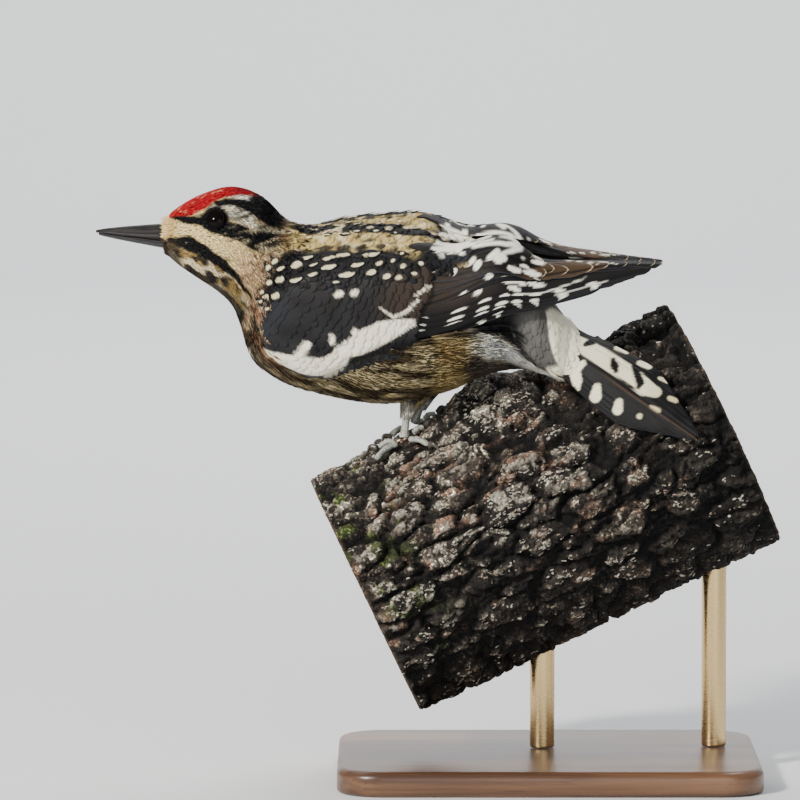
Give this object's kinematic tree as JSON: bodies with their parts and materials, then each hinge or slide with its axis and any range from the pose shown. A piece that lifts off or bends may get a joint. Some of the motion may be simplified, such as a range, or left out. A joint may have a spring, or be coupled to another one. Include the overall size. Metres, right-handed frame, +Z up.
{
  "type": "sapsucker woodpecker on a perch",
  "caption": "Life-size model of a young sapsucker woodpecker gripping a short cut length of limb, with its stiff tail braced on the bark, on a plain display stand.",
  "frame": {"origin": "centre of the underside of the display stand's base, on the floor", "axes": "+Z up; the bird faces -X and its left side faces -Y"},
  "size_m": [0.2206, 0.1, 0.1907],
  "materials": {
    "bill_horn": "dark grey horn, satin",
    "eye": "glossy dark brown, opaque",
    "plumage_dark": "soft feathers, red crown and black and white face",
    "plumage_buff": "soft feathers, buff with brown scaling",
    "wing_slate": "slate-black feathers with white patch and spots",
    "tail_black": "stiff black feathers barred white",
    "leg_skin": "scaled grey skin",
    "claw_horn": "dark horn",
    "bark": "deeply fissured dark bark with lichen",
    "base_wood": "satin walnut",
    "rod_brass": "satin brass"
  },
  "bodies": {
    "root": {"bill_lower": "bill_horn", "bill_upper": "bill_horn", "claw_left_inner_back": "claw_horn", "claw_left_inner_front": "claw_horn", "claw_left_outer_back": "claw_horn", "claw_left_outer_front": "claw_horn", "claw_right_inner_back": "claw_horn", "claw_right_inner_front": "claw_horn", "claw_right_outer_back": "claw_horn", "claw_right_outer_front": "claw_horn", "eye_left": "eye", "eye_right": "eye", "head": "plumage_dark", "neck": "plumage_buff", "perch": "bark", "rump": "plumage_buff", "stand_base": "base_wood", "stand_rod_high": "rod_brass", "stand_rod_low": "rod_brass", "tail": "tail_black", "tarsus_left": "leg_skin", "tarsus_right": "leg_skin", "thigh_left": "plumage_buff", "thigh_right": "plumage_buff", "toe_left_inner_back": "leg_skin", "toe_left_inner_front": "leg_skin", "toe_left_outer_back": "leg_skin", "toe_left_outer_front": "leg_skin", "toe_right_inner_back": "leg_skin", "toe_right_inner_front": "leg_skin", "toe_right_outer_back": "leg_skin", "toe_right_outer_front": "leg_skin", "trunk": "plumage_buff", "wing_left_coverts": "wing_slate", "wing_left_flight": "wing_slate", "wing_right_coverts": "wing_slate", "wing_right_flight": "wing_slate"}
  },
  "joints": []
}
